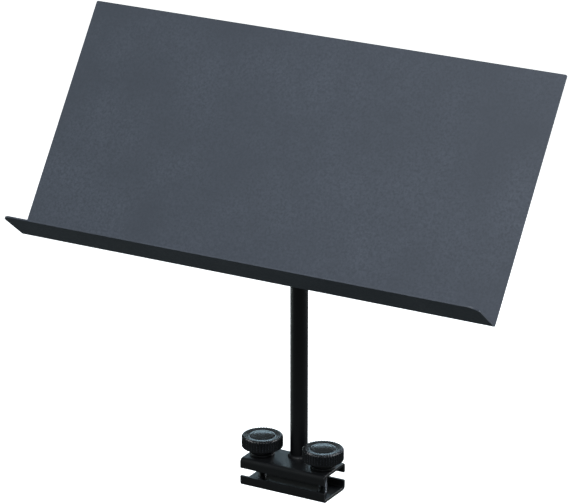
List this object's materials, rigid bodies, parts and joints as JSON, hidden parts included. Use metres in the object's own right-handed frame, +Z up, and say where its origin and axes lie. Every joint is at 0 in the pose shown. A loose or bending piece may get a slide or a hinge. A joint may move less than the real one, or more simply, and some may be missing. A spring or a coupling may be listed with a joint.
{
  "type": "music stand",
  "caption": "Clamp-on music desk: a wide folded sheet-metal desk with a ledge tilts on a short pole, which stands on a two-jaw clamp drawn together by ribbed knobs.",
  "frame": {"origin": "middle of the clamp, on the plane of the fixed jaw's gripping edges", "axes": "+X along the desk's width to the reader's right, +Y away from the reader, +Z up along the pole"},
  "size_m": [0.5, 0.1741, 0.4393],
  "materials": {
    "desk_paint": "fine matte blue-grey powder coat",
    "black_paint": "satin black powder coat",
    "black_plastic": "moulded black, satin",
    "zinc_steel": "bright zinc plate",
    "brass": "turned",
    "grey_nylon": "natural grey nylon"
  },
  "bodies": {
    "frame": {"pole_tube": "black_paint", "pole_head": "black_paint", "head_pin": "zinc_steel", "fixed_jaw": "black_paint", "knob_washer_left": "zinc_steel", "knob_washer_right": "zinc_steel", "friction_disc_left": "grey_nylon", "friction_disc_right": "grey_nylon"},
    "desk": {"desk_panel": "desk_paint", "tilt_bracket_left": "black_paint", "tilt_bracket_right": "black_paint", "weld_stud_left_upper": "zinc_steel", "weld_stud_left_lower": "zinc_steel", "weld_stud_right_upper": "zinc_steel", "weld_stud_right_lower": "zinc_steel", "flange_nut_left_upper": "zinc_steel", "flange_nut_left_lower": "zinc_steel", "flange_nut_right_upper": "zinc_steel", "flange_nut_right_lower": "zinc_steel", "pivot_bolt": "zinc_steel", "tilt_washer": "zinc_steel"},
    "tilt_knob": {"knob_shell_tilt": "black_plastic", "knob_insert_tilt": "brass", "knob_cap_tilt": "black_plastic"},
    "knob_left": {"knob_shell_left": "black_plastic", "knob_insert_left": "brass", "knob_cap_left": "black_plastic"},
    "knob_right": {"knob_shell_right": "black_plastic", "knob_insert_right": "brass", "knob_cap_right": "black_plastic"},
    "jaw": {"moving_jaw": "black_paint", "clamp_bolt_left": "zinc_steel", "clamp_bolt_right": "zinc_steel"}
  },
  "joints": [
    {"name": "desk_tilt", "type": "hinge", "parent": "frame", "child": "desk", "pos_m": [0, 0.0125, 0.297], "axis": [1, 0, 0], "range_deg": [-45, 30]},
    {"name": "tilt_knob_turn", "type": "hinge", "parent": "desk", "child": "tilt_knob", "pos_m": [0, 0.0125, 0.297], "axis": [-1, 0, 0], "range_deg": [-180, 0]},
    {"name": "knob_left_turn", "type": "hinge", "parent": "frame", "child": "knob_left", "pos_m": [-0.0333, 0, 0.0126], "axis": [0, 0, -1], "range_deg": [-1080, 2160]},
    {"name": "knob_right_turn", "type": "hinge", "parent": "frame", "child": "knob_right", "pos_m": [0.0333, 0, 0.0126], "axis": [0, 0, -1], "range_deg": [-1080, 2160]},
    {"name": "jaw_slide", "type": "slide", "parent": "frame", "child": "jaw", "axis": [0, 0, 1], "range_m": [-0.00375, 0.0075]}
  ],
  "couplings": [
    {"joint": "knob_left_turn", "follows": "jaw_slide", "rad_per_m": 5026.5},
    {"joint": "knob_right_turn", "follows": "jaw_slide", "rad_per_m": 5026.5}
  ]
}
